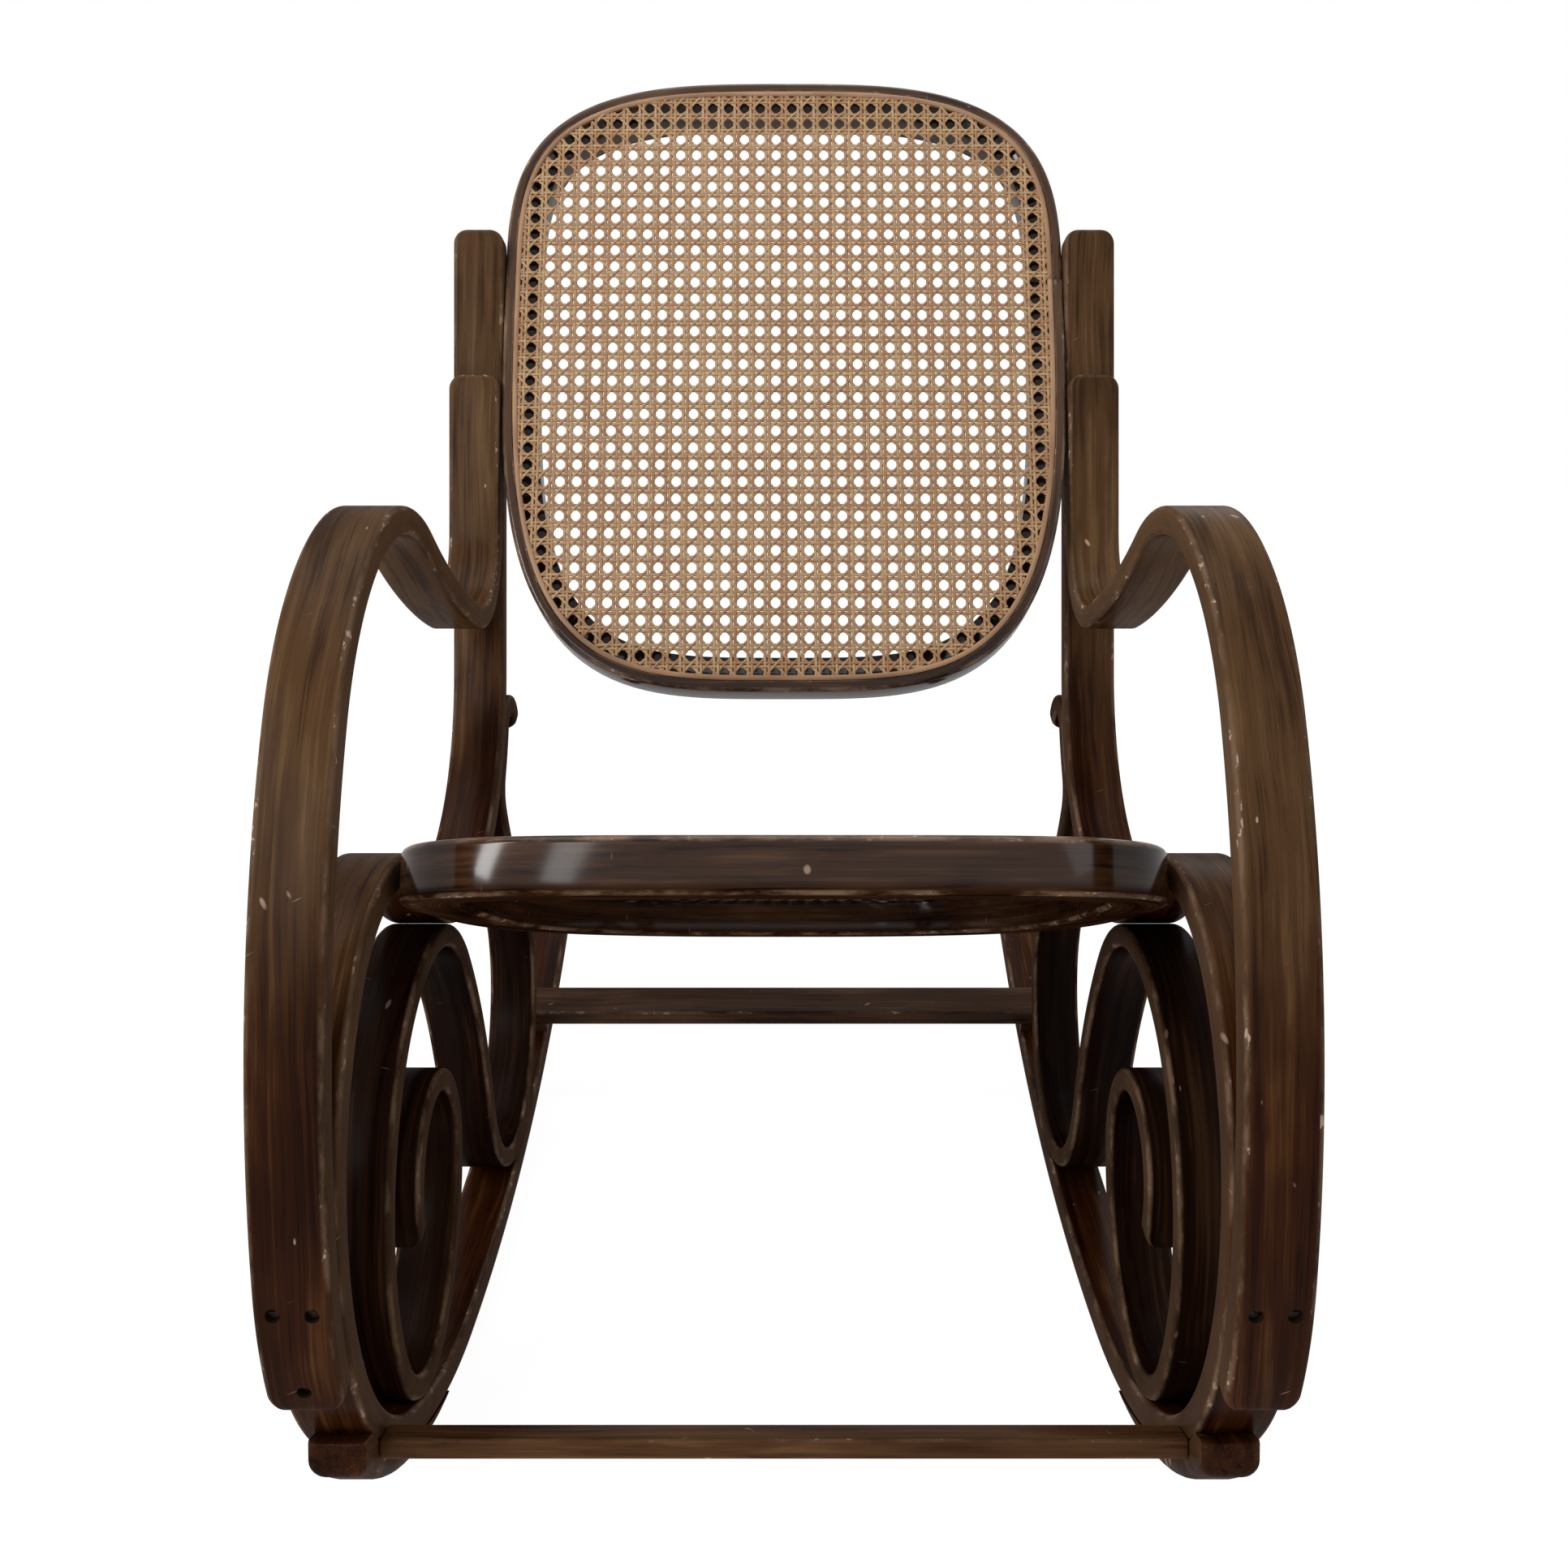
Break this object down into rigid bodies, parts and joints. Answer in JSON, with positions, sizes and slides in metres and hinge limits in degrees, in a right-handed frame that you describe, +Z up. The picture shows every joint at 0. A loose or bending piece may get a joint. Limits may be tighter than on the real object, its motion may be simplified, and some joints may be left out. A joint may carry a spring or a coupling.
{
  "type": "rocking chair",
  "caption": "Bentwood rocking chair with a caned seat and back, sweeping bent arms, spiral scrolls under the seat and curved rockers.",
  "frame": {"origin": "middle of the chair's bounding box, at floor level under the rockers", "axes": "+X to the sitter's right-hand side as seen from the front of the picture, +Y towards the back of the chair, +Z up; the chair faces -Y and stands tipped back as it balances empty"},
  "size_m": [0.517, 0.8728, 0.8714],
  "materials": {
    "frame_wood": "gloss lacquer over dark walnut stain",
    "ring_wood": "gloss lacquer over dark walnut stain",
    "cane": "natural woven cane, satin",
    "reed": "natural reed, satin",
    "screws": "dull countersunk heads"
  },
  "bodies": {
    "root": {"left_side_band": "frame_wood", "right_side_band": "frame_wood", "left_arm": "frame_wood", "right_arm": "frame_wood", "left_scroll": "frame_wood", "right_scroll": "frame_wood", "left_toe_block": "frame_wood", "right_toe_block": "frame_wood", "front_stretcher": "frame_wood", "rear_stretcher": "frame_wood", "stretcher_blocks": "frame_wood", "seat_ring": "ring_wood", "back_ring": "ring_wood", "seat_cane": "cane", "back_cane": "cane", "seat_spline": "reed", "back_spline": "reed", "arm_foot_screws": "screws", "arm_post_screws": "screws", "back_ring_screws": "screws", "seat_ring_screws": "screws", "scroll_screws": "screws", "stretcher_screws": "screws", "toe_screws": "screws"}
  },
  "joints": []
}
